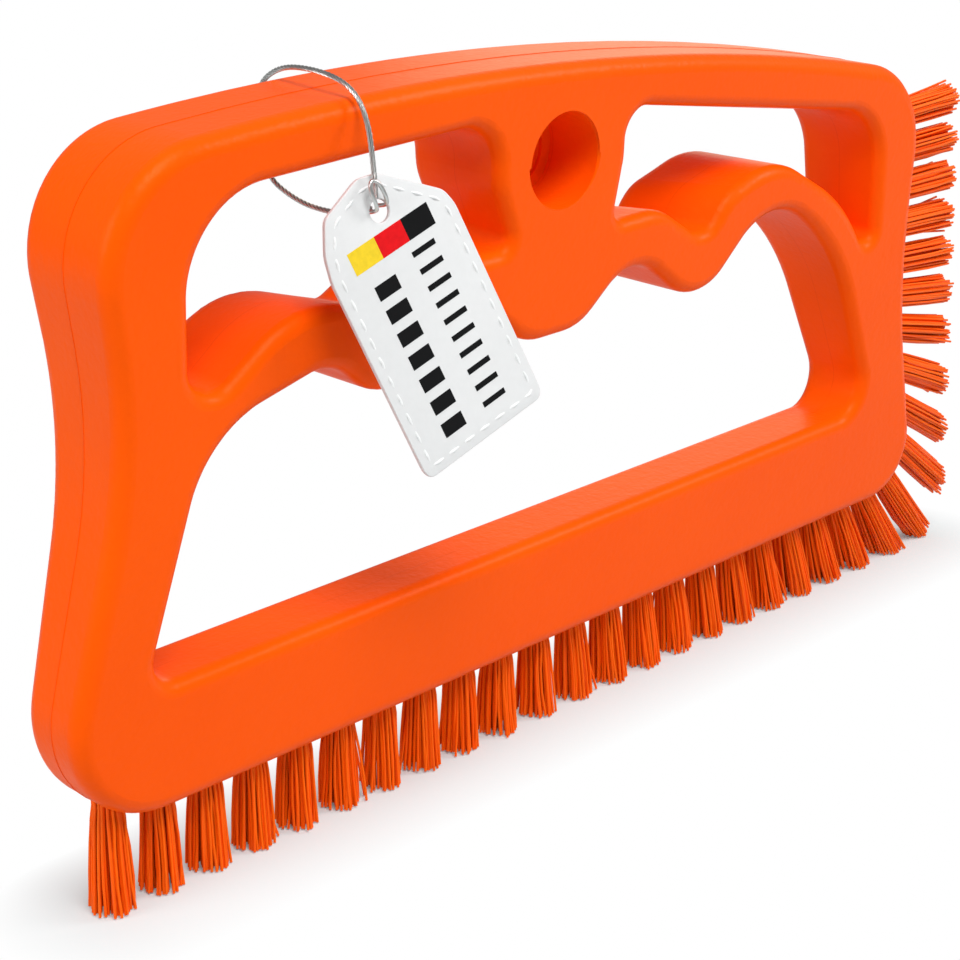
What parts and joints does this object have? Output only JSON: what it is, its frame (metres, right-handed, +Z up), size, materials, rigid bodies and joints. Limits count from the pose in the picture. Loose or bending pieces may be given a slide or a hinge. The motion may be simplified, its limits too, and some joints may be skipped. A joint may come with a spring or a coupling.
{
  "type": "grout brush",
  "caption": "Hand-held grout brush: a flat moulded frame with hand windows, one row of bristle tufts along its foot and round one end, a round socket, and a hang tag on a wire loop.",
  "frame": {"origin": "on the floor under the middle of the brush, at the trimmed ends of the foot bristles, in the mid-plane of the frame", "axes": "+X along the foot towards the end that carries bristles on its side, +Z up, -Y out of the face with the socket"},
  "size_m": [0.2165, 0.0393, 0.1175],
  "materials": {
    "moulded_frame": "fine moulded texture, orange",
    "bristle": "extruded filaments, satin, orange",
    "anchor_steel": "plain strip",
    "tag_card": "white laminated card",
    "wire_steel": "bright drawn wire"
  },
  "bodies": {
    "brush": {"brush_body": "moulded_frame", "tuft_01": "bristle", "tuft_02": "bristle", "tuft_03": "bristle", "tuft_04": "bristle", "tuft_05": "bristle", "tuft_06": "bristle", "tuft_07": "bristle", "tuft_08": "bristle", "tuft_09": "bristle", "tuft_10": "bristle", "tuft_11": "bristle", "tuft_12": "bristle", "tuft_13": "bristle", "tuft_14": "bristle", "tuft_15": "bristle", "tuft_16": "bristle", "tuft_17": "bristle", "tuft_18": "bristle", "tuft_19": "bristle", "tuft_20": "bristle", "tuft_21": "bristle", "tuft_22": "bristle", "tuft_23": "bristle", "tuft_24": "bristle", "tuft_25": "bristle", "tuft_26": "bristle", "tuft_27": "bristle", "tuft_28": "bristle", "tuft_29": "bristle", "tuft_30": "bristle", "tuft_31": "bristle", "tuft_32": "bristle", "tuft_33": "bristle", "tuft_anchors": "anchor_steel"},
    "tag_loop": {"tag_wire": "wire_steel", "wire_hitch": "wire_steel"},
    "tag": {"hang_tag": "tag_card"}
  },
  "joints": [
    {"name": "loop_slide", "type": "slide", "parent": "brush", "child": "tag_loop", "axis": [1, 0, 0], "range_m": [-0.022, 0.022]},
    {"name": "tag_swing", "type": "hinge", "parent": "tag_loop", "child": "tag", "pos_m": [-0.0578, -0.014, 0.09926], "axis": [-0.1545, -0.9647, 0.213], "range_deg": [-45, 60]}
  ]
}
